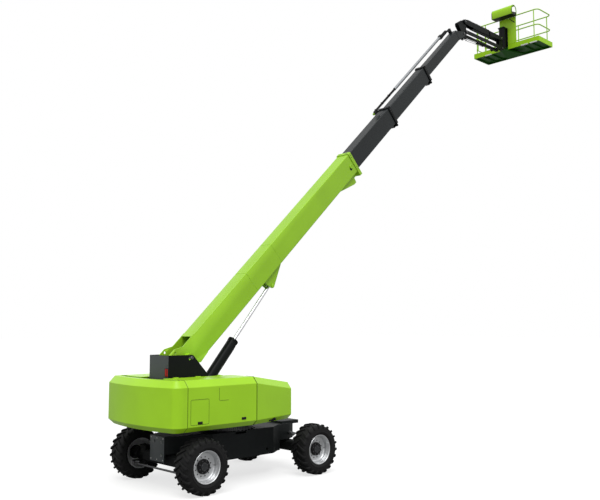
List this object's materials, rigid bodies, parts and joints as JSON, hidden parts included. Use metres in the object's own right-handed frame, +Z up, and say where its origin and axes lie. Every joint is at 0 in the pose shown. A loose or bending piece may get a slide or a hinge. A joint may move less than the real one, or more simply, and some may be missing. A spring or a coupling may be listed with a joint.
{
  "type": "telescopic boom lift",
  "caption": "Self-propelled telescopic boom lift: sliding boom on a slewing turntable with a jib and a railed work platform, on a steered wheeled chassis.",
  "frame": {"origin": "on the ground, under the centre of the bounding box of the machine as parked", "axes": "+X forward along the boom, +Y to the machine's left, +Z up"},
  "size_m": [14.9642, 2.72, 13.7404],
  "materials": {
    "cast_dark": "matte",
    "cast_green": "gloss",
    "chrome_rod": "polished",
    "console_green": "gloss",
    "engine_metal": "cast",
    "hood_green": "gloss",
    "lamp_red": "gloss",
    "paint_black": "satin",
    "paint_dark": "satin",
    "paint_green": "gloss",
    "paint_green_boom": "satin",
    "pipe_grey": "satin",
    "rim_paint": "satin",
    "steel_dark": "satin",
    "tank_plastic": "satin",
    "tyre_rubber": "matte"
  },
  "bodies": {
    "chassis": {"chassis_frame": "paint_dark", "axle_front": "cast_dark", "axle_rear": "cast_dark", "slew_ring": "steel_dark"},
    "turntable": {"turntable_deck": "paint_dark", "counterweight": "cast_green", "front_cowls": "hood_green", "engine_block": "engine_metal", "fluid_tanks": "tank_plastic", "pedestal": "paint_black", "rear_lamps": "lamp_red"},
    "hood_door_left": {"hood_door_left": "hood_green"},
    "hood_door_right": {"hood_door_right": "hood_green"},
    "boom": {"boom_base": "paint_green_boom"},
    "lift_barrel": {"lift_barrel": "paint_black"},
    "lift_rod": {"lift_rod": "chrome_rod"},
    "section_2": {"boom_section_2": "paint_dark"},
    "section_3": {"boom_section_3": "paint_dark"},
    "section_4": {"boom_section_4": "paint_dark", "hose_pipe": "pipe_grey"},
    "level_bracket": {"level_bracket": "paint_dark"},
    "jib_upper": {"jib_upper_arm": "paint_dark"},
    "jib_lower": {"jib_lower_arm": "paint_dark"},
    "jib_barrel": {"jib_barrel": "paint_black"},
    "jib_rod": {"jib_rod": "chrome_rod"},
    "platform_support": {"platform_support": "paint_black"},
    "platform": {"platform_mount": "paint_black", "platform_floor": "paint_green", "platform_rails": "paint_green", "control_console": "console_green"},
    "gate": {"platform_gate": "paint_green"},
    "tie_rod_front": {"tie_rod_front": "steel_dark"},
    "tie_rod_rear": {"tie_rod_rear": "steel_dark"},
    "knuckle_front_left": {"knuckle_front_left": "cast_dark"},
    "wheel_front_left": {"tyre_front_left": "tyre_rubber", "rim_front_left": "rim_paint"},
    "knuckle_front_right": {"knuckle_front_right": "cast_dark"},
    "wheel_front_right": {"tyre_front_right": "tyre_rubber", "rim_front_right": "rim_paint"},
    "knuckle_rear_left": {"knuckle_rear_left": "cast_dark"},
    "wheel_rear_left": {"tyre_rear_left": "tyre_rubber", "rim_rear_left": "rim_paint"},
    "knuckle_rear_right": {"knuckle_rear_right": "cast_dark"},
    "wheel_rear_right": {"tyre_rear_right": "tyre_rubber", "rim_rear_right": "rim_paint"}
  },
  "joints": [
    {"name": "slew", "type": "hinge", "parent": "chassis", "child": "turntable", "pos_m": [-5.12206, 0, 1.11], "axis": [0, 0, 1], "continuous": true},
    {"name": "boom_lift", "type": "hinge", "parent": "turntable", "child": "boom", "pos_m": [-6.29206, 0, 2.54], "axis": [0, -1, 0], "range_deg": [-46.6, 31.4]},
    {"name": "lift_barrel_turn", "type": "hinge", "parent": "turntable", "child": "lift_barrel", "pos_m": [-5.98206, 0, 1.64], "axis": [0, -1, 0], "range_deg": [-41.65, 28.23]},
    {"name": "lift_rod_slide", "type": "slide", "parent": "lift_barrel", "child": "lift_rod", "axis": [0.6411, 0, 0.7674], "range_m": [-0.65274, 0.44146]},
    {"name": "section_2_slide", "type": "slide", "parent": "boom", "child": "section_2", "axis": [0.7242, 0, 0.6896], "range_m": [-2.07, 3.1]},
    {"name": "section_3_slide", "type": "slide", "parent": "section_2", "child": "section_3", "axis": [0.7242, 0, 0.6896], "range_m": [-2.08, 3.11]},
    {"name": "section_4_slide", "type": "slide", "parent": "section_3", "child": "section_4", "axis": [0.7242, 0, 0.6896], "range_m": [-2.08, 3.11]},
    {"name": "bracket_level", "type": "hinge", "parent": "section_4", "child": "level_bracket", "pos_m": [3.99806, 0, 12.18036], "axis": [0, -1, 0], "range_deg": [-31.9, 47.1]},
    {"name": "jib_lift", "type": "hinge", "parent": "level_bracket", "child": "jib_upper", "pos_m": [4.11806, 0, 12.62036], "axis": [0, -1, 0], "range_deg": [-60, 70]},
    {"name": "jib_lower_turn", "type": "hinge", "parent": "level_bracket", "child": "jib_lower", "pos_m": [4.13806, 0, 12.28036], "axis": [0, -1, 0], "range_deg": [-60.5, 70.5]},
    {"name": "support_level", "type": "hinge", "parent": "jib_upper", "child": "platform_support", "pos_m": [6.17806, 0, 12.62036], "axis": [0, -1, 0], "range_deg": [-70.5, 60.5]},
    {"name": "jib_barrel_turn", "type": "hinge", "parent": "jib_lower", "child": "jib_barrel", "pos_m": [5.91806, 0, 12.21036], "axis": [0, -1, 0], "range_deg": [-1, 1]},
    {"name": "jib_rod_slide", "type": "slide", "parent": "jib_barrel", "child": "jib_rod", "axis": [-0.9987, 0, -0.0517], "range_m": [-0.143, 0.166]},
    {"name": "platform_rotate", "type": "hinge", "parent": "platform_support", "child": "platform", "pos_m": [6.40806, 0, 12.33036], "axis": [0, 0, 1], "range_deg": [-90, 90]},
    {"name": "gate_swing", "type": "hinge", "parent": "platform", "child": "gate", "pos_m": [6.75736, 1.1967, 12.90036], "axis": [0, 0, -1], "range_deg": [0, 85]},
    {"name": "hood_door_left_lift", "type": "hinge", "parent": "turntable", "child": "hood_door_left", "pos_m": [-6.18206, 0.4, 2.16], "axis": [1, 0, 0], "range_deg": [0, 70]},
    {"name": "hood_door_right_lift", "type": "hinge", "parent": "turntable", "child": "hood_door_right", "pos_m": [-6.18206, -0.4, 2.16], "axis": [-1, 0, 0], "range_deg": [0, 70]},
    {"name": "steer_front", "type": "hinge", "parent": "chassis", "child": "knuckle_front_left", "pos_m": [-3.61906, 0.86, 0.535], "axis": [0, 0, 1], "range_deg": [-30, 30]},
    {"name": "steer_front_right", "type": "hinge", "parent": "chassis", "child": "knuckle_front_right", "pos_m": [-3.61906, -0.86, 0.535], "axis": [0, 0, 1], "range_deg": [-30.5, 30.5]},
    {"name": "tie_rod_front_turn", "type": "hinge", "parent": "knuckle_front_left", "child": "tie_rod_front", "pos_m": [-3.37906, 0.86, 0.375], "axis": [0, 0, 1], "range_deg": [-30.5, 30.5]},
    {"name": "wheel_spin_front_left", "type": "hinge", "parent": "knuckle_front_left", "child": "wheel_front_left", "pos_m": [-3.61906, 1.16, 0.535], "axis": [0, 1, 0], "continuous": true},
    {"name": "wheel_spin_front_right", "type": "hinge", "parent": "knuckle_front_right", "child": "wheel_front_right", "pos_m": [-3.61906, -1.16, 0.535], "axis": [0, 1, 0], "continuous": true},
    {"name": "steer_rear", "type": "hinge", "parent": "chassis", "child": "knuckle_rear_left", "pos_m": [-6.62506, 0.86, 0.535], "axis": [0, 0, 1], "range_deg": [-30, 30]},
    {"name": "steer_rear_right", "type": "hinge", "parent": "chassis", "child": "knuckle_rear_right", "pos_m": [-6.62506, -0.86, 0.535], "axis": [0, 0, 1], "range_deg": [-30.5, 30.5]},
    {"name": "tie_rod_rear_turn", "type": "hinge", "parent": "knuckle_rear_left", "child": "tie_rod_rear", "pos_m": [-6.86506, 0.86, 0.375], "axis": [0, 0, 1], "range_deg": [-30.5, 30.5]},
    {"name": "wheel_spin_rear_left", "type": "hinge", "parent": "knuckle_rear_left", "child": "wheel_rear_left", "pos_m": [-6.62506, 1.16, 0.535], "axis": [0, 1, 0], "continuous": true},
    {"name": "wheel_spin_rear_right", "type": "hinge", "parent": "knuckle_rear_right", "child": "wheel_rear_right", "pos_m": [-6.62506, -1.16, 0.535], "axis": [0, 1, 0], "continuous": true}
  ],
  "couplings": [
    {"joint": "lift_barrel_turn", "follows": "boom_lift", "ratio": 0.883},
    {"joint": "lift_rod_slide", "follows": "boom_lift", "m_per_rad": 0.79641},
    {"joint": "section_3_slide", "follows": "section_2_slide", "ratio": 1},
    {"joint": "section_4_slide", "follows": "section_2_slide", "ratio": 1},
    {"joint": "bracket_level", "follows": "boom_lift", "ratio": -1},
    {"joint": "jib_lower_turn", "follows": "jib_lift", "ratio": 1},
    {"joint": "support_level", "follows": "jib_lift", "ratio": -1},
    {"joint": "jib_barrel_turn", "follows": "jib_lift", "ratio": 0.005},
    {"joint": "jib_rod_slide", "follows": "jib_lift", "m_per_rad": 0.13178},
    {"joint": "steer_front_right", "follows": "steer_front", "ratio": 1},
    {"joint": "tie_rod_front_turn", "follows": "steer_front", "ratio": -1},
    {"joint": "steer_rear_right", "follows": "steer_rear", "ratio": 1},
    {"joint": "tie_rod_rear_turn", "follows": "steer_rear", "ratio": -1}
  ]
}
